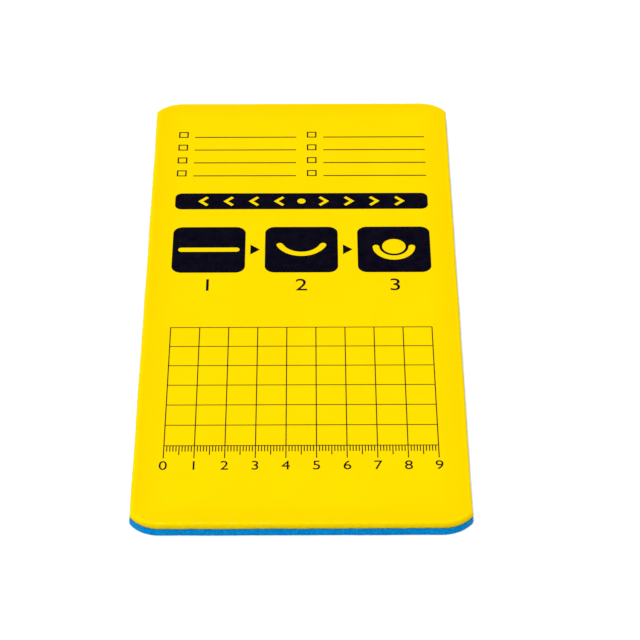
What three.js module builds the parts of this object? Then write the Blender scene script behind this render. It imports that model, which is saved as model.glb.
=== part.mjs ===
// Aluminium foam splint: a flat strip of soft aluminium sheet, bonded between two sheets of
// closed-cell foam, yellow on the upper face and blue on the lower one.
// Sizes are in millimetres and +Z is up. The origin is the middle of the lower face, and the
// strip's length runs along Y.
import * as THREE from "three";

const LENGTH = 230;
const WIDTH = 110;
const YELLOW_THICKNESS = 2.3;
const BLUE_THICKNESS = 2.6;
const CORE_THICKNESS = 0.4;
// The glue line that parts any two layers.
const BOND_GAP = 0.05;
// The foam sheets are wider than the metal, and their rims meet round it and seal its edge.
const RIM_WIDTH = 3;
// How far the pocket in each foam sheet stands off from the metal's edge.
const POCKET_CLEARANCE = 0.3;

// A round-cornered punch cuts the two ends. It is wider than the strip by the overhang on each
// side, so its corner arcs run out through the long edges at an angle.
const PUNCH_RADIUS = 12;
const PUNCH_OVERHANG = 2;
const ARC_DIVISIONS = 5;

const ROLL_STEPS = 6;

// How the cut leaves each sheet's edge: the inset of its cut face from the strip's outline, and the
// width and height of its rolled outer lip. At the seam the foam of both is pulled in a little.
const YELLOW_EDGE = { thickness: YELLOW_THICKNESS, cutInset: 0.15, rollWidth: 1, rollHeight: 1.2 };
const BLUE_EDGE = { thickness: BLUE_THICKNESS, cutInset: 0, rollWidth: 0.45, rollHeight: 0.35 };
const SEAM_PULL = 0.2;
const PULL_HEIGHT = 0.5;

const YELLOW_FOAM = new THREE.MeshStandardMaterial({ color: 0xfcd800, roughness: 0.65, metalness: 0 });
const BLUE_FOAM = new THREE.MeshStandardMaterial({ color: 0x2390cf, roughness: 0.7, metalness: 0 });
const ALUMINIUM = new THREE.MeshStandardMaterial({ color: 0xc6c9cc, roughness: 0.38, metalness: 1 });

// The strip's outline moved inwards by an inset, anticlockwise: four corner arcs, which the
// straight edges and ends join.
function outline(inset) {
  const radius = PUNCH_RADIUS - inset;
  const centreX = WIDTH / 2 + PUNCH_OVERHANG - PUNCH_RADIUS;
  const centreY = LENGTH / 2 - PUNCH_RADIUS;
  const edgeAngle = Math.acos((WIDTH / 2 - inset - centreX) / radius);
  const quarter = Math.PI / 2;
  const shape = new THREE.Shape();
  shape.absarc(centreX, centreY, radius, edgeAngle, quarter);
  shape.absarc(-centreX, centreY, radius, quarter, 2 * quarter - edgeAngle);
  shape.absarc(-centreX, -centreY, radius, 2 * quarter + edgeAngle, 3 * quarter);
  shape.absarc(centreX, -centreY, radius, 3 * quarter, 4 * quarter - edgeAngle);
  return shape;
}

// The sections of a foam sheet, in its own frame with the seam at height 0: from the roof of the
// pocket for the metal, over the bonded rim, up the cut edge and round the lip to the outer face.
function foamSections(edge) {
  const pocketInset = RIM_WIDTH - POCKET_CLEARANCE;
  const pocketRoof = CORE_THICKNESS / 2 + BOND_GAP;
  const rimHeight = BOND_GAP / 2;
  const sections = [
    { inset: pocketInset, height: pocketRoof },
    { inset: pocketInset, height: rimHeight },
    { inset: edge.cutInset + SEAM_PULL, height: rimHeight },
    { inset: edge.cutInset, height: PULL_HEIGHT },
  ];
  const lipHeight = edge.thickness - edge.rollHeight;
  for (let step = 0; step <= ROLL_STEPS; step += 1) {
    const turn = (step / ROLL_STEPS) * (Math.PI / 2);
    sections.push({
      inset: edge.cutInset + edge.rollWidth * (1 - Math.cos(turn)),
      height: lipHeight + edge.rollHeight * Math.sin(turn),
    });
  }
  return sections;
}

// A closed solid through a row of level sections, flat across its first and its last one.
function loft(sections) {
  const rings = sections.map(({ inset }) => outline(inset).getPoints(ARC_DIVISIONS));
  const ringSize = rings[0].length;
  const positions = [];
  rings.forEach((ring, row) => {
    ring.forEach((point) => positions.push(point.x, point.y, sections[row].height));
  });

  const index = [];
  for (let row = 0; row + 1 < rings.length; row += 1) {
    for (let column = 0; column < ringSize; column += 1) {
      const here = row * ringSize + column;
      const beside = row * ringSize + ((column + 1) % ringSize);
      index.push(here, beside, beside + ringSize);
      index.push(here, beside + ringSize, here + ringSize);
    }
  }
  const lastRow = (rings.length - 1) * ringSize;
  THREE.ShapeUtils.triangulateShape(rings[0], []).forEach(([a, b, c]) => index.push(a, c, b));
  THREE.ShapeUtils.triangulateShape(rings.at(-1), []).forEach(([a, b, c]) => {
    index.push(lastRow + a, lastRow + b, lastRow + c);
  });

  const geometry = new THREE.BufferGeometry();
  geometry.setAttribute("position", new THREE.Float32BufferAttribute(positions, 3));
  geometry.setIndex(index);
  geometry.computeVertexNormals();
  return geometry;
}

function foamSheet(name, edge, material) {
  const sheet = new THREE.Mesh(loft(foamSections(edge)), material);
  sheet.name = name;
  sheet.position.z = BLUE_THICKNESS;
  return sheet;
}

function metalCore() {
  const geometry = new THREE.ExtrudeGeometry(outline(RIM_WIDTH), {
    depth: CORE_THICKNESS,
    bevelEnabled: false,
    curveSegments: ARC_DIVISIONS,
  });
  const core = new THREE.Mesh(geometry, ALUMINIUM);
  core.name = "aluminium_core";
  core.position.z = BLUE_THICKNESS - CORE_THICKNESS / 2;
  return core;
}

const yellowFoam = foamSheet("yellow_foam", YELLOW_EDGE, YELLOW_FOAM);
const blueFoam = foamSheet("blue_foam", BLUE_EDGE, BLUE_FOAM);
// The blue sheet is turned over, so its outer face lies underneath.
blueFoam.rotation.y = Math.PI;

const splint = new THREE.Group();
splint.name = "aluminium_foam_splint";
splint.add(yellowFoam, metalCore(), blueFoam);

export default splint;
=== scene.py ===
import math
from collections import namedtuple

import bpy
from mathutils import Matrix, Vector, geometry, noise


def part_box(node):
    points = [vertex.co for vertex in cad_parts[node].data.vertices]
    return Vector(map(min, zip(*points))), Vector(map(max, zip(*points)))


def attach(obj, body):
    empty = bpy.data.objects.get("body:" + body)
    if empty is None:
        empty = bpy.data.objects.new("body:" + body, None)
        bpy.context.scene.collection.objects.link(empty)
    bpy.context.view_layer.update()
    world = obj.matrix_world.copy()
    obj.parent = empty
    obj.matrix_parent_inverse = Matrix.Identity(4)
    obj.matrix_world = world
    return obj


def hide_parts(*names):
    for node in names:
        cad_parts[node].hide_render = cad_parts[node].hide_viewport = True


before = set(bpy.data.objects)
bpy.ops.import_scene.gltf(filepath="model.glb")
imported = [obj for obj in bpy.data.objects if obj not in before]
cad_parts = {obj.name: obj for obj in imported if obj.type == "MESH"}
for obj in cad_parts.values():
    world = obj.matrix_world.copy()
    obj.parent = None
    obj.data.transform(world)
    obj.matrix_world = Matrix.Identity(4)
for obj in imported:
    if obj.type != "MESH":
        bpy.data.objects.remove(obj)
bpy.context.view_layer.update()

# The looks of a flat splint strip: an aluminium sheet sealed between a yellow foam sheet, printed
# on its outer face, and a blue one. Sizes are in millimetres where nothing else is said.
MM = 0.001
yellow_low, yellow_high = (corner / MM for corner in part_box("yellow_foam"))
blue_low, blue_high = (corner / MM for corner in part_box("blue_foam"))
core_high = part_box("aluminium_core")[1] / MM
HALF_WIDTH = (blue_high.x - blue_low.x) / 2
HALF_LENGTH = (blue_high.y - blue_low.y) / 2
SEAM_HEIGHT = (yellow_low.z + blue_high.z) / 2
BOND_GAP = yellow_low.z - blue_high.z

# The round-cornered punch that cut the ends is wider than the strip by the overhang on each side.
PUNCH_RADIUS = 12
PUNCH_OVERHANG = 2

# The pocket in each foam sheet stands off from the aluminium's edge by the clearance.
POCKET_CLEARANCE = 0.3
POCKET_INSET = HALF_WIDTH - core_high.x - POCKET_CLEARANCE
POCKET_ROOF = core_high.z - SEAM_HEIGHT + BOND_GAP

# How the cut leaves a foam sheet's edge: the sheet's thickness from the seam, the inset of its cut
# face from the strip's outline, the width and height of its rolled lip, and the size of its lumps.
FoamEdge = namedtuple("FoamEdge", "thickness cut_inset roll_width roll_height lumps")
YELLOW_EDGE = FoamEdge(
    thickness=yellow_high.z - SEAM_HEIGHT,
    cut_inset=0.15,
    roll_width=1.0,
    roll_height=1.2,
    lumps=0.09,
)
BLUE_EDGE = FoamEdge(
    thickness=SEAM_HEIGHT - blue_low.z,
    cut_inset=0.0,
    roll_width=0.45,
    roll_height=0.35,
    lumps=0.06,
)
# At the seam both cut faces are pulled in, and up to a reach from it the foam is painted darker,
# as shade in the seam. Inside its lip each outer face begins with a level ring.
SEAM_PULL = 0.2
SEAM_SHADE_REACH = 0.9
LEVEL_RING = 1.0

# Small unevenness of the foam: the cut's wander and lumps, its open cells and the skin's waves. A
# cell's pit reaches out to a share of the cell's size.
CUT_WANDER = 0.12
WANDER_LENGTH = 16.0
LUMP_LENGTH = 1.2
CELL_SIZE = 0.9
CELL_DEPTH = 0.08
CELL_PIT = 0.55
SKIN_WAVE = 0.06
SKIN_WAVE_LENGTH = 34.0
# The waves come from a level slice of a noise in space, at this height.
SKIN_WAVE_SLICE = 50
# Beside the cut edge the skin is flatter and its colour darker: wholly so up to the first inset, and
# not at all from the second one.
RIM_INSETS = (3.0, 11.0)

# How finely the edges and faces are meshed.
ARC_STEPS = 24
LONG_STEPS = 440
END_STEPS = 180
CUT_STEPS = 8
ROLL_STEPS = 10
FACE_GRID = 4.0
FACE_GRID_MARGIN = 6.0
# What the triangulation of a face is told: to keep only the triangles inside its polygons, and how
# near to each other two points count as one.
INSIDE_ONLY = 1
SAME_POINT = 1e-5

# The print lies on the yellow face as a film of ink. From the far end to the near one it has lines
# to fill in, a bar, three step pictures and a measuring grid.
INK_FILM = 0.03
INK_GAP = 0.01
PRINT_REACH = 46.0
FINE_LINE = 0.5
HAIR_LINE = 0.34

# Two columns of tick boxes, each box with a line after a gap. The margin is half the space between
# the columns.
FORM_TOP = 96.0
FORM_LINES = 4
FORM_SPACING = 8.0
FORM_MARGIN = 2.0
TICK_BOX = 3.6
TICK_GAP = 2.5

# The bar, with bare chevrons on both sides of a dot.
BAR_FOOT = 48.5
BAR_TOP = 58.0
BAR_CORNER = 2.5
BAR_DOT = 1.5
CHEVRONS = 4
CHEVRON_DEPTH = 2.6
CHEVRON_RISE = 2.4
CHEVRON_STROKE = 1.2

# The step pictures are tiles that show the strip from its end: flat, bent and wrapped round a limb.
# The centres of the bends are above the tile's middle.
STEP_ROW = 25.0
STEP_SPACING = 33.0
STEP_TILE = 26.0
STEP_CORNER = 3.5
STEP_STROKE = 2.4
STEP_LENGTH = 19.5
BEND_RADIUS = 8.4
BEND_CENTRE = 5.9
WRAP_RADIUS = 6.4
LIMB_RADIUS = 4.2
LIMB_CENTRE = 1.6
STEP_NUMERAL = 6.5
STEP_NUMERAL_DROP = 10.0
ARROW_LENGTH = 3.4
ARROW_RISE = 2.8

# The grid of centimetre squares, with a rule and numbers below its foot.
GRID_SQUARE = 10
GRID_COLUMNS = 9
GRID_ROWS = 6
GRID_FOOT = -78.0
CENTIMETRE_TICK = 6.0
HALF_TICK = 4.4
MILLIMETRE_TICK = 2.8
GRID_NUMERAL = 4.2
GRID_NUMERAL_DROP = 11.5

# How finely the print's curves are drawn, and how high the font's numerals are at a size of 1.
DISC_STEPS = 48
CORNER_STEPS = 8
CURVE_POINTS = 6
NUMERAL_HEIGHT = 0.7

# The looks of a foam: the skin's own, darker and lighter colours, the lighter one also painted as a
# highlight on the ridges between the open cells, its darker colour along the rim, the painted shade
# in the pits of the open cells and beside the seam, how strongly the skin is flecked, how strong its
# relief is, how strongly the seam's painted shade darkens the foam, and its specular level.
FoamLook = namedtuple("FoamLook", "colour dark light rim deep fleck relief seam_shade specular")
YELLOW_LOOK = FoamLook(
    colour=(0.81, 0.582, 0.0),
    dark=(0.79, 0.56, 0.0),
    light=(0.83, 0.63, 0.0),
    rim=(0.755, 0.522, 0.0),
    deep=(0.58, 0.38, 0.0),
    fleck=0.3,
    relief=0.2,
    seam_shade=1.0,
    specular=0.07,
)
BLUE_LOOK = FoamLook(
    colour=(0.0, 0.219, 0.605),
    dark=(0.0, 0.162, 0.5),
    light=(0.01, 0.36, 0.73),
    rim=(0.0, 0.195, 0.56),
    deep=(0.0, 0.1, 0.36),
    fleck=0.9,
    relief=0.5,
    seam_shade=0.3,
    specular=0.045,
)

# The patterns that the materials are made of, each as a node's type and the output that is read.
NOISE = ("ShaderNodeTexNoise", "Fac")
CELLS = ("ShaderNodeTexVoronoi", "Distance")

# The patterns in both foams: their sizes, and the levels at which they reach their colours.
BLOTCH_SIZE = 14
BLOTCH_LEVELS = (0.35, 0.65)
GRAIN_SIZE = 0.5
GRAIN_LEVELS = (0.34, 0.47, 0.56, 0.7)
PORE_SIZE = 0.55
PORE_LEVELS = (0.1, 0.45, 0.75)
GLOSS_SIZE = 1.8
GLOSS_LEVELS = (0.6, 0.62)
# How far the rim's colour and the open cells' colours cover the skin's own.
RIM_COVER = 0.7
CELL_COVER = 0.55
# The roughness of the skin from blotch to blotch, and of the lip between and on its glossy spots.
SKIN_ROUGHNESS = (0.47, 0.53)
LIP_ROUGHNESS = (0.9, 0.05)
# How deep the relief is, and the shares in it of the grain and of the pores under a whole skin.
FOAM_RELIEF = 0.12
GRAIN_SHARE = 0.35
SKIN_PORE_SHARE = 0.12

# The ink is an uneven black, with pinholes where the foam shows through.
INK_CLOUD_SIZE = 3
INK_CLOUD_LEVELS = (0.3, 0.75)
INK_BLACKS = ((0.004, 0.0035, 0.008), (0.007, 0.006, 0.011))
INK_GRAIN_SIZE = 0.35
PINHOLE_LEVELS = (0.74, 0.8)
PINHOLE_COLOUR = (0.3, 0.2, 0.0)
INK_ROUGHNESS = 0.55
INK_SPECULAR = 0.035
INK_BUMP = 0.3
INK_RELIEF = 0.05

# The aluminium's rolling lines are a fine pattern drawn out along the strip.
ROLLING_SIZE = 0.3
ROLLING_SCALE = (1, 0.02, 1)
ROLLING_LEVELS = (0.3, 0.7)
ALUMINIUM_TINTS = ((0.62, 0.63, 0.64), (0.78, 0.79, 0.8))
ALUMINIUM_ROUGHNESS = (0.3, 0.42)
ALUMINIUM_BUMP = 0.2
ALUMINIUM_RELIEF = 0.02

# The floor is pale, a little cloudy, and just clear of the strip.
FLOOR_REACH = 3000
FLOOR_DROP = 0.03
FLOOR_CLOUD_SIZE = 1000 / 3
FLOOR_CLOUD_LEVELS = (0.3, 0.7)
FLOOR_GREYS = (0.93, 0.95)
FLOOR_ROUGHNESS = 0.9
FLOOR_SPECULAR = 0.1

# The camera, solved from the strip's outline in the photograph, with its angles in degrees.
LENS = 153.57
CAMERA_DISTANCE = 951.2
CAMERA_ELEVATION = 40.035
CAMERA_AZIMUTH = -0.267
CAMERA_TARGET = (6.469, -8.35, 0.0)

# The light: softboxes in metres and watts, the strength of an even white sky, and how much light
# still shows as full black.
Softbox = namedtuple("Softbox", "name place width depth power")
SOFTBOXES = (
    Softbox("overhead", place=(0.1, 0.15, 2.2), width=2.6, depth=2.2, power=29.2),
    Softbox("key", place=(-0.34, -0.74, 3.1), width=0.44, depth=0.68, power=53.6),
    Softbox("left", place=(-1.5, -0.2, 0.4), width=1.4, depth=0.7, power=6.0),
)
SKY_STRENGTH = 0.33
BLACK_LEVEL = 0.006

# A level section of a foam sheet: its inset, its height above the seam and how far its surface has
# turned upwards. From 0 to 1, cut says how open its cells are, lip how far it belongs to the rolled
# lip, and glue how near the bond is, where the foam is painted darker as shade.
Section = namedtuple("Section", "inset height turn cut lip glue", defaults=(0, 0, 0, 0))

# One polygon of the print, anticlockwise, inked or left bare.
Mark = namedtuple("Mark", "polygon inked")


def arc(x, y, radius, start, end, steps):
    """Points along an arc, with its angles in degrees."""
    turns = [math.radians(start + (end - start) * i / steps) for i in range(steps + 1)]
    return [(x + radius * math.cos(a), y + radius * math.sin(a)) for a in turns]


def between(start, end, steps):
    """The points that divide a line into equal steps, without its two ends."""
    x0, y0 = start
    x1, y1 = end
    return [(x0 + (x1 - x0) * k / steps, y0 + (y1 - y0) * k / steps) for k in range(1, steps)]


def outline(inset):
    """The strip's outline moved inwards, anticlockwise, with the same number of points each time."""
    radius = PUNCH_RADIUS - inset
    x = HALF_WIDTH + PUNCH_OVERHANG - PUNCH_RADIUS
    y = HALF_LENGTH - PUNCH_RADIUS
    edge_angle = math.degrees(math.acos((HALF_WIDTH - inset - x) / radius))
    arcs = (
        arc(x, y, radius, edge_angle, 90, ARC_STEPS),
        arc(-x, y, radius, 90, 180 - edge_angle, ARC_STEPS),
        arc(-x, -y, radius, 180 + edge_angle, 270, ARC_STEPS),
        arc(x, -y, radius, 270, 360 - edge_angle, ARC_STEPS),
    )
    side_steps = (END_STEPS, LONG_STEPS, END_STEPS, LONG_STEPS)
    points = []
    for i, steps in enumerate(side_steps):
        next_arc = arcs[(i + 1) % len(arcs)]
        points += arcs[i] + between(arcs[i][-1], next_arc[0], steps)
    return points


def edge_sections(edge):
    """The sections of a foam sheet from its pocket, up its cut edge and round its lip to its face."""
    bond_height = BOND_GAP / 2
    roll_foot = edge.thickness - edge.roll_height
    sections = [Section(POCKET_INSET, POCKET_ROOF), Section(POCKET_INSET, bond_height)]
    for i in range(CUT_STEPS):
        share = i / CUT_STEPS
        inset = edge.cut_inset + SEAM_PULL * (1 - share) ** 2
        height = bond_height + (roll_foot - bond_height) * share
        # The foam is painted darker towards the seam, as shade between the sheets.
        glue = max(0, 1 - height / SEAM_SHADE_REACH)
        sections.append(Section(inset, height, cut=1, glue=glue))
    for i in range(ROLL_STEPS + 1):
        turn = i / ROLL_STEPS * math.pi / 2
        inset = edge.cut_inset + edge.roll_width * (1 - math.cos(turn))
        height = roll_foot + edge.roll_height * math.sin(turn)
        cut = max(0, math.cos(2 * turn))
        lip = math.sin(2 * turn)
        sections.append(Section(inset, height, turn, cut, lip))
    level_inset = edge.cut_inset + edge.roll_width + LEVEL_RING
    sections.append(Section(level_inset, edge.thickness, turn=math.pi / 2))
    return sections


def swelling(x, y, section, lumps):
    """How far the edge stands out from its plain section, with open cells dug into it."""
    place = Vector((x, y, section.height))
    lump = lumps * noise.noise(place / LUMP_LENGTH) * math.sqrt(abs(math.cos(section.turn)))
    nearest = noise.voronoi(place / CELL_SIZE)[0][0]
    cell = CELL_DEPTH * max(0, 1 - (nearest / CELL_PIT) ** 2)
    return lump - cell * section.cut


def off_rim(x, y):
    """How far a point of a face is off its rim, from 0 on the rim to 1."""
    inset = min(HALF_WIDTH - abs(x), HALF_LENGTH - abs(y))
    start, end = RIM_INSETS
    return min(1, max(0, (inset - start) / (end - start)))


def skin_wave(x, y):
    """How far a sheet's outer face dips from its level, below 0 and not at all on its rim."""
    level = noise.noise(Vector((x, y, SKIN_WAVE_SLICE)) / SKIN_WAVE_LENGTH)
    return SKIN_WAVE * off_rim(x, y) * (level - 1) / 2


def section_row(section, lumps):
    """The points of a sheet at one of its sections: plain in the pocket, uneven on the edge."""
    ring = outline(section.inset)
    if section.inset == POCKET_INSET:
        return [(x, y, section.height) for x, y in ring]
    row = []
    for i, (x, y) in enumerate(ring):
        x0, y0 = ring[i - 1]
        x1, y1 = ring[(i + 1) % len(ring)]
        outwards = Vector((y1 - y0, x0 - x1)).normalized()
        wander = CUT_WANDER * noise.noise(Vector((x, y, 0)) / WANDER_LENGTH)
        swell = swelling(x, y, section, lumps)
        reach = wander + swell * math.cos(section.turn)
        height = section.height + swell * math.sin(section.turn)
        row.append((x + outwards.x * reach, y + outwards.y * reach, height))
    return row


def edge_faces(row_count, size):
    """The roof of a sheet's pocket, and the faces between its rows of points."""
    faces = [list(range(size))[::-1]]
    for r in range(row_count - 1):
        for i in range(size):
            here = r * size + i
            beside = r * size + (i + 1) % size
            faces.append([here, beside, beside + size, here + size])
    return faces


def divided(polygon, longest):
    """A polygon with each side divided until no piece of it is longer than a length."""
    points = []
    for i, corner in enumerate(polygon):
        last = polygon[i - 1]
        steps = math.ceil(math.dist(last, corner) / longest)
        points += between(last, corner, steps) + [corner]
    return points


def face_grid():
    """A grid of points inside a sheet's outer face, fine enough for its waves."""
    across = int((HALF_WIDTH - FACE_GRID_MARGIN) // FACE_GRID)
    along = int((HALF_LENGTH - FACE_GRID_MARGIN) // FACE_GRID)
    return [
        Vector((i * FACE_GRID, j * FACE_GRID))
        for i in range(-across, across + 1)
        for j in range(-along, along + 1)
    ]


def face_mesh(boundary, marks):
    """Triangles of a sheet's outer face inside a boundary, where a later mark covers an earlier one.
    Returns the points, the triangles, whether each is inked, and which of the boundary's points
    each point is."""
    points = [Vector(p[:2]) for p in boundary]
    polygons = [list(range(len(points)))]
    for polygon, _ in marks:
        corners = divided(polygon, FACE_GRID)
        polygons.append(list(range(len(points), len(points) + len(corners))))
        points += [Vector(p) for p in corners]
    points += face_grid()
    verts, _, faces, origin, _, covers = geometry.delaunay_2d_cdt(
        points, [], polygons, INSIDE_ONLY, SAME_POINT
    )
    inked = [max(cover) > 0 and marks[max(cover) - 1].inked for cover in covers]
    on_boundary = [next((k for k in ks if k < len(boundary)), None) for ks in origin]
    return verts, faces, inked, on_boundary


def new_object(name, points, faces, material, smooth=True):
    """A mesh object, from points in millimetres."""
    mesh = bpy.data.meshes.new(name)
    mesh.from_pydata([(x * MM, y * MM, z * MM) for x, y, z in points], [], faces)
    mesh.polygons.foreach_set("use_smooth", [smooth] * len(faces))
    mesh.materials.append(material)
    piece = bpy.data.objects.new(name, mesh)
    bpy.context.collection.objects.link(piece)
    return piece


def write_shares(piece, name, values):
    """Keeps a value from 0 to 1 at each point of a piece, for its material."""
    piece.data.attributes.new(name, "FLOAT", "POINT").data.foreach_set("value", values)


def foam_sheet(name, edge, material, turned_over=False, marks=()):
    """A closed foam sheet: its pocket, cut edge, rolled lip and outer face. Returns it with its
    points and the triangles of its face that the marks ink."""
    sections = edge_sections(edge)
    rows = [section_row(section, edge.lumps) for section in sections]
    size = len(rows[0])
    last_row = (len(rows) - 1) * size
    points = [p for row in rows for p in row]

    verts, triangles, inked, on_boundary = face_mesh(rows[-1], marks)
    index = []
    for vert, k in zip(verts, on_boundary):
        if k is None:
            index.append(len(points))
            points.append((vert.x, vert.y, edge.thickness + skin_wave(vert.x, vert.y)))
        else:
            index.append(last_row + k)
    skin = [[index[k] for k in triangle] for triangle in triangles]

    side = -1 if turned_over else 1
    points = [(side * x, y, SEAM_HEIGHT + side * z) for x, y, z in points]
    piece = new_object(name, points, edge_faces(len(rows), size) + skin, material)
    for share in ("cut", "lip", "glue"):
        values = [getattr(section, share) for section in sections for _ in range(size)]
        values += [0] * (len(points) - len(values))
        write_shares(piece, share, values)
    rim = [0] * last_row + [1 - off_rim(x, y) for x, y, _ in points[last_row:]]
    write_shares(piece, "rim", rim)
    return piece, points, [triangle for triangle, ink in zip(skin, inked) if ink]


def ink_film(name, points, triangles, material):
    """A thin closed film of ink that lies on some triangles of a sheet's face."""
    used = sorted({k for triangle in triangles for k in triangle})
    low = {k: i for i, k in enumerate(used)}
    count = len(used)
    film = [(x, y, z + INK_GAP) for x, y, z in (points[k] for k in used)]
    film += [(x, y, z + INK_FILM) for x, y, z in film]
    edges = {(t[i - 1], t[i]) for t in triangles for i in range(3)}
    faces = [[low[k] + count for k in t] for t in triangles]
    faces += [[low[k] for k in reversed(t)] for t in triangles]
    faces += [
        [low[a], low[b], low[b] + count, low[a] + count]
        for a, b in sorted(edges) if (b, a) not in edges
    ]
    return new_object(name, film, faces, material, smooth=False)


def area(polygon):
    """A polygon's area, above 0 if it runs anticlockwise."""
    crosses = [
        polygon[i - 1][0] * polygon[i][1] - polygon[i][0] * polygon[i - 1][1]
        for i in range(len(polygon))
    ]
    return sum(crosses) / 2


def mark(polygon, inked=True):
    """A mark, from a polygon that runs either way."""
    return Mark(polygon if area(polygon) > 0 else polygon[::-1], inked)


def disc(x, y, radius, inked=True):
    """A full circle."""
    return mark(arc(x, y, radius, 0, 360, DISC_STEPS)[:-1], inked)


def box(x0, y0, x1, y1, radius=0.0, inked=True):
    """A rectangle, with round corners where a radius is given."""
    if not radius:
        return mark([(x0, y0), (x1, y0), (x1, y1), (x0, y1)], inked)
    centres = (
        (x1 - radius, y1 - radius),
        (x0 + radius, y1 - radius),
        (x0 + radius, y0 + radius),
        (x1 - radius, y0 + radius),
    )
    points = []
    for i, (x, y) in enumerate(centres):
        points += arc(x, y, radius, 90 * i, 90 * i + 90, CORNER_STEPS)
    return mark(points, inked)


def band(path, width, inked=True):
    """A line of some width along an open path, mitred at its bends."""
    left = []
    right = []
    for i, point in enumerate(path):
        before = Vector(path[max(i - 1, 0)])
        after = Vector(path[min(i + 1, len(path) - 1)])
        here = Vector(point)
        arriving = (here - before).normalized()
        leaving = (after - here).normalized()
        along = (arriving + leaving).normalized()
        across = Vector((-along.y, along.x)) * width / 2
        across /= along.dot(leaving if i == 0 else arriving)
        left.append(tuple(here + across))
        right.append(tuple(here - across))
    return mark(left + right[::-1], inked)


def stroke(path, width, inked=True):
    """A line along a path, with round ends."""
    ends = [disc(*end, width / 2, inked) for end in (path[0], path[-1])]
    return [band(path, width, inked)] + ends


def numeral(text, x, foot, height):
    """Plain numerals centred on x, as marks, with their holes bare."""
    data = bpy.data.curves.new("numeral", "FONT")
    data.body = text
    data.align_x = "CENTER"
    data.size = height / NUMERAL_HEIGHT
    holder = bpy.data.objects.new("numeral", data)
    bpy.context.collection.objects.link(holder)
    bpy.context.view_layer.update()
    polygons = []
    for spline in holder.to_curve(bpy.context.evaluated_depsgraph_get()).splines:
        knots = spline.bezier_points
        polygon = []
        for i, knot in enumerate(knots):
            last = knots[i - 1]
            curve = geometry.interpolate_bezier(
                last.co, last.handle_right, knot.handle_left, knot.co, CURVE_POINTS
            )
            polygon += [(x + p.x, foot + p.y) for p in curve[1:]]
        polygons.append(polygon)
    holder.to_curve_clear()
    bpy.data.objects.remove(holder)
    bpy.data.curves.remove(data)
    largest = max(map(area, polygons), key=abs)
    solids = [mark(p) for p in polygons if area(p) * largest > 0]
    holes = [mark(p, inked=False) for p in polygons if area(p) * largest < 0]
    return solids + holes


def form_marks():
    """Two columns of tick boxes, each with a line to write on."""
    marks = []
    for left in (-PRINT_REACH, FORM_MARGIN):
        line_end = left + PRINT_REACH - FORM_MARGIN
        for row in range(FORM_LINES):
            foot = FORM_TOP - row * FORM_SPACING - TICK_BOX
            right = left + TICK_BOX
            top = foot + TICK_BOX
            marks.append(box(left, foot, right, top))
            marks.append(box(
                left + FINE_LINE, foot + FINE_LINE, right - FINE_LINE, top - FINE_LINE, inked=False
            ))
            marks.append(box(right + TICK_GAP, foot, line_end, foot + FINE_LINE))
    return marks


def bar_marks():
    """A black bar with bare chevrons that point outwards from a dot."""
    middle = (BAR_FOOT + BAR_TOP) / 2
    marks = [
        box(-PRINT_REACH, BAR_FOOT, PRINT_REACH, BAR_TOP, BAR_CORNER),
        disc(0, middle, BAR_DOT, inked=False),
    ]
    for side in (-1, 1):
        for i in range(1, CHEVRONS + 1):
            tip = side * i * PRINT_REACH / (CHEVRONS + 1)
            back = tip - side * CHEVRON_DEPTH
            path = [(back, middle + CHEVRON_RISE), (tip, middle), (back, middle - CHEVRON_RISE)]
            marks.append(band(path, CHEVRON_STROKE, inked=False))
    return marks


def bent_strip(centre, radius):
    """The strip seen from its end, bent to a radius about a centre above the tile's middle."""
    reach = math.degrees(STEP_LENGTH / radius / 2)
    return arc(0, centre, radius, 270 - reach, 270 + reach, ARC_STEPS)


def step_marks():
    """Three numbered tiles with arrows between them and the strip's bare profile in each."""
    profiles = (
        [(-STEP_LENGTH / 2, 0), (STEP_LENGTH / 2, 0)],
        bent_strip(BEND_CENTRE, BEND_RADIUS),
        bent_strip(LIMB_CENTRE, WRAP_RADIUS),
    )
    half = STEP_TILE / 2
    marks = []
    for i, profile in enumerate(profiles):
        x = (i - 1) * STEP_SPACING
        marks.append(box(x - half, STEP_ROW - half, x + half, STEP_ROW + half, STEP_CORNER))
        marks += stroke([(x + px, STEP_ROW + py) for px, py in profile], STEP_STROKE, inked=False)
        marks += numeral(str(i + 1), x, STEP_ROW - half - STEP_NUMERAL_DROP, STEP_NUMERAL)
        if i > 0:
            tip = x - STEP_SPACING / 2 + ARROW_LENGTH / 2
            back = tip - ARROW_LENGTH
            marks.append(mark([
                (tip, STEP_ROW), (back, STEP_ROW + ARROW_RISE), (back, STEP_ROW - ARROW_RISE)
            ]))
    limb = disc(STEP_SPACING, STEP_ROW + LIMB_CENTRE, LIMB_RADIUS, inked=False)
    return marks + [limb]


def rule_tick(millimetre):
    """The length of the rule's tick at one of its millimetres."""
    if millimetre % GRID_SQUARE == 0:
        return CENTIMETRE_TICK
    if millimetre % (GRID_SQUARE // 2) == 0:
        return HALF_TICK
    return MILLIMETRE_TICK


def grid_marks():
    """A grid of centimetre squares with a millimetre rule and plain numbers at its foot."""
    width = GRID_COLUMNS * GRID_SQUARE
    top = GRID_FOOT + GRID_ROWS * GRID_SQUARE
    left = -width / 2
    half_line = HAIR_LINE / 2
    marks = []
    for i in range(GRID_COLUMNS + 1):
        x = left + i * GRID_SQUARE
        marks.append(box(x - half_line, GRID_FOOT, x + half_line, top))
        marks += numeral(str(i), x, GRID_FOOT - GRID_NUMERAL_DROP, GRID_NUMERAL)
    for j in range(GRID_ROWS + 1):
        y = GRID_FOOT + j * GRID_SQUARE
        marks.append(box(left - half_line, y - half_line, left + width + half_line, y + half_line))
    for millimetre in range(width + 1):
        x = left + millimetre
        foot = GRID_FOOT - rule_tick(millimetre)
        marks.append(box(x - half_line, foot, x + half_line, GRID_FOOT))
    return marks


def feed(tree, socket, value):
    """Gives a socket another node's output, a colour or a number."""
    if isinstance(value, bpy.types.NodeSocket):
        tree.links.new(value, socket)
    elif isinstance(value, tuple):
        socket.default_value = (*value, 1)
    else:
        socket.default_value = value


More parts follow.
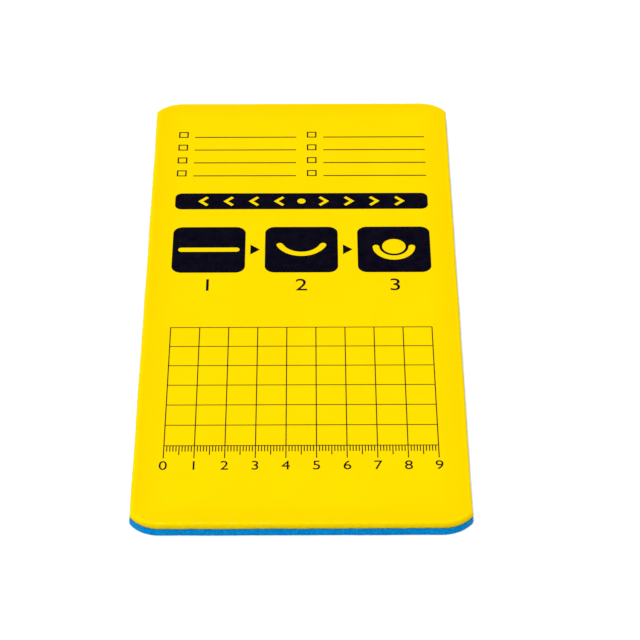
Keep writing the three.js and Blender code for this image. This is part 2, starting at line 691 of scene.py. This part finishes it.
def pattern(tree, kind, place, size, **inputs):
    """A pattern of some size in millimetres, with other inputs of its node by their names."""
    node_type, output = kind
    made = tree.nodes.new(node_type)
    feed(tree, made.inputs["Vector"], place)
    feed(tree, made.inputs["Scale"], 1 / (size * MM))
    for name, value in inputs.items():
        feed(tree, made.inputs[name.title()], value)
    return made.outputs[output]


def ramp(tree, factor, levels, colours):
    """A colour ramp fed by a factor, with a colour at each of two or more levels of it."""
    made = tree.nodes.new("ShaderNodeValToRGB")
    feed(tree, made.inputs["Fac"], factor)
    elements = made.color_ramp.elements
    for level in levels[1:-1]:
        elements.new(level)
    for element, level, colour in zip(elements, levels, colours):
        element.position = level
        element.color = (*colour, 1)
    return made.outputs["Color"]


def grey_ramp(tree, factor, levels, values):
    """A ramp of plain values."""
    return ramp(tree, factor, levels, [(value, value, value) for value in values])


def mixed(tree, factor, first, second):
    """Two colours mixed by a factor, which is a number or another node's output."""
    made = tree.nodes.new("ShaderNodeMixRGB")
    for socket, value in zip(made.inputs, (factor, first, second)):
        feed(tree, socket, value)
    return made.outputs["Color"]


def computed(tree, operation, first, second):
    """A sum or product of two values, each a number or another node's output."""
    made = tree.nodes.new("ShaderNodeMath")
    made.operation = operation
    for socket, value in zip(made.inputs, (first, second)):
        feed(tree, socket, value)
    return made.outputs["Value"]


def attribute(tree, name):
    """The value that a mesh holds at each point under a name."""
    made = tree.nodes.new("ShaderNodeAttribute")
    made.attribute_name = name
    return made.outputs["Fac"]


def bump(tree, shader, height, strength, depth):
    """A bump of some depth in millimetres on a shader."""
    made = tree.nodes.new("ShaderNodeBump")
    feed(tree, made.inputs["Strength"], strength)
    feed(tree, made.inputs["Distance"], depth * MM)
    feed(tree, made.inputs["Height"], height)
    feed(tree, shader.inputs["Normal"], made.outputs["Normal"])


def new_material(name):
    """A material with its node tree, its shader and the object's own coordinates."""
    material = bpy.data.materials.new(name)
    material.use_nodes = True
    tree = material.node_tree
    place = tree.nodes.new("ShaderNodeTexCoord").outputs["Object"]
    return material, tree, tree.nodes["Principled BSDF"], place


def foam_material(name, look):
    """Closed-cell foam: a flecked skin with faint blotches, darker along its rim, with open cells on
    the cut whose pits are painted darker as shade and whose ridges lighter as highlight, painted
    shade beside the seam and glossy spots on the lip."""
    material, tree, shader, place = new_material(name)
    blotch = pattern(tree, NOISE, place, BLOTCH_SIZE, detail=3.0)
    grain = pattern(tree, NOISE, place, GRAIN_SIZE, detail=2.0, roughness=0.6)
    pores = pattern(tree, CELLS, place, PORE_SIZE)
    cut = attribute(tree, "cut")

    blotched = ramp(tree, blotch, BLOTCH_LEVELS, (look.dark, look.colour))
    flecks = ramp(tree, grain, GRAIN_LEVELS, (look.dark, look.colour, look.colour, look.light))
    skin = mixed(tree, look.fleck, blotched, flecks)
    rim_share = computed(tree, "MULTIPLY", attribute(tree, "rim"), RIM_COVER)
    rimmed = mixed(tree, rim_share, skin, look.rim)
    # Painted shade in the pits of the open cells, and a painted highlight on the ridges between them.
    open_cells = ramp(tree, pores, PORE_LEVELS, (look.deep, look.colour, look.light))
    cut_share = computed(tree, "MULTIPLY", cut, CELL_COVER)
    foam = mixed(tree, cut_share, rimmed, open_cells)
    # Painted shade: the foam is darkened towards the seam between the two sheets.
    seam_shade_share = computed(tree, "MULTIPLY", attribute(tree, "glue"), look.seam_shade)
    feed(tree, shader.inputs["Base Color"], mixed(tree, seam_shade_share, foam, look.deep))

    spots = pattern(tree, NOISE, place, GLOSS_SIZE, detail=0.0)
    skin_roughness = grey_ramp(tree, blotch, BLOTCH_LEVELS, SKIN_ROUGHNESS)
    lip_roughness = grey_ramp(tree, spots, GLOSS_LEVELS, LIP_ROUGHNESS)
    rough = mixed(tree, attribute(tree, "lip"), skin_roughness, lip_roughness)
    feed(tree, shader.inputs["Roughness"], rough)
    feed(tree, shader.inputs["Specular IOR Level"], look.specular)

    pore_share = computed(tree, "ADD", cut, SKIN_PORE_SHARE)
    pore_height = computed(tree, "MULTIPLY", pores, pore_share)
    grain_height = computed(tree, "MULTIPLY", grain, GRAIN_SHARE)
    height = computed(tree, "ADD", pore_height, grain_height)
    bump(tree, shader, height, look.relief, FOAM_RELIEF)
    return material


def ink_material():
    """Black screen ink, a little uneven, with pinholes."""
    material, tree, shader, place = new_material("print_ink")
    cloud = pattern(tree, NOISE, place, INK_CLOUD_SIZE, detail=4.0)
    grain = pattern(tree, NOISE, place, INK_GRAIN_SIZE, detail=2.0)
    black = ramp(tree, cloud, INK_CLOUD_LEVELS, INK_BLACKS)
    pinholes = grey_ramp(tree, grain, PINHOLE_LEVELS, (0, 1))
    feed(tree, shader.inputs["Base Color"], mixed(tree, pinholes, black, PINHOLE_COLOUR))
    feed(tree, shader.inputs["Roughness"], INK_ROUGHNESS)
    feed(tree, shader.inputs["Specular IOR Level"], INK_SPECULAR)
    bump(tree, shader, grain, INK_BUMP, INK_RELIEF)
    return material


def aluminium_material():
    """Mill-rolled sheet with fine lines along the strip."""
    material, tree, shader, place = new_material("aluminium_sheet")
    drawn_out = tree.nodes.new("ShaderNodeMapping")
    drawn_out.inputs["Scale"].default_value = ROLLING_SCALE
    feed(tree, drawn_out.inputs["Vector"], place)
    lines = pattern(tree, NOISE, drawn_out.outputs["Vector"], ROLLING_SIZE, detail=3.0)
    tint = ramp(tree, lines, ROLLING_LEVELS, ALUMINIUM_TINTS)
    rough = grey_ramp(tree, lines, ROLLING_LEVELS, ALUMINIUM_ROUGHNESS)
    feed(tree, shader.inputs["Base Color"], tint)
    feed(tree, shader.inputs["Roughness"], rough)
    feed(tree, shader.inputs["Metallic"], 1.0)
    bump(tree, shader, lines, ALUMINIUM_BUMP, ALUMINIUM_RELIEF)
    return material


def floor_material():
    """A pale matte ground."""
    material, tree, shader, place = new_material("floor")
    cloud = pattern(tree, NOISE, place, FLOOR_CLOUD_SIZE)
    feed(tree, shader.inputs["Base Color"], grey_ramp(tree, cloud, FLOOR_CLOUD_LEVELS, FLOOR_GREYS))
    feed(tree, shader.inputs["Roughness"], FLOOR_ROUGHNESS)
    feed(tree, shader.inputs["Specular IOR Level"], FLOOR_SPECULAR)
    return material


def camera():
    """The photograph's view of the strip."""
    data = bpy.data.cameras.new("camera")
    data.lens = LENS
    azimuth = math.radians(CAMERA_AZIMUTH)
    elevation = math.radians(CAMERA_ELEVATION)
    back = Vector((
        math.sin(azimuth) * math.cos(elevation),
        -math.cos(azimuth) * math.cos(elevation),
        math.sin(elevation),
    ))
    view = bpy.data.objects.new("camera", data)
    view.location = (Vector(CAMERA_TARGET) + back * CAMERA_DISTANCE) * MM
    view.rotation_mode = "QUATERNION"
    view.rotation_quaternion = (-back).to_track_quat("-Z", "Y")
    bpy.context.collection.objects.link(view)
    bpy.context.scene.camera = view


def light_up(softbox):
    """An area light for a softbox, which faces the origin."""
    data = bpy.data.lights.new(softbox.name, "AREA")
    data.shape = "RECTANGLE"
    data.size = softbox.width
    data.size_y = softbox.depth
    data.energy = softbox.power
    light = bpy.data.objects.new(softbox.name, data)
    light.location = softbox.place
    light.rotation_mode = "QUATERNION"
    light.rotation_quaternion = (-Vector(softbox.place)).to_track_quat("-Z", "Y")
    bpy.context.collection.objects.link(light)


def studio():
    """A wide pale floor, an even sky, the softboxes and the picture's tone."""
    corners = [
        (x * FLOOR_REACH, y * FLOOR_REACH, -FLOOR_DROP)
        for x, y in ((-1, -1), (1, -1), (1, 1), (-1, 1))
    ]
    new_object("floor", corners, [[0, 1, 2, 3]], floor_material())
    world = bpy.data.worlds.new("studio")
    world.use_nodes = True
    sky = world.node_tree.nodes["Background"]
    sky.inputs["Color"].default_value = (1, 1, 1, 1)
    sky.inputs["Strength"].default_value = SKY_STRENGTH
    bpy.context.scene.world = world
    for softbox in SOFTBOXES:
        light_up(softbox)
    tone = bpy.context.scene.view_settings
    tone.view_transform = "Standard"
    tone.use_curve_mapping = True
    tone.curve_mapping.black_level = (BLACK_LEVEL, BLACK_LEVEL, BLACK_LEVEL)
    tone.curve_mapping.update()


camera()
studio()

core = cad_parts["aluminium_core"]
core.data.materials.clear()
core.data.materials.append(aluminium_material())

yellow_foam = foam_material("yellow_foam", YELLOW_LOOK)
blue_foam = foam_material("blue_foam", BLUE_LOOK)
marks = form_marks() + bar_marks() + step_marks() + grid_marks()
yellow, yellow_points, inked_skin = foam_sheet(
    "yellow_foam_sheet", YELLOW_EDGE, yellow_foam, marks=marks
)
blue, _, _ = foam_sheet("blue_foam_sheet", BLUE_EDGE, blue_foam, turned_over=True)
for piece, node in ((yellow, "yellow_foam"), (blue, "blue_foam")):
    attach(piece, "root")
    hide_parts(node)
ink = ink_film("printed_ink", yellow_points, inked_skin, ink_material())
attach(ink, "root")
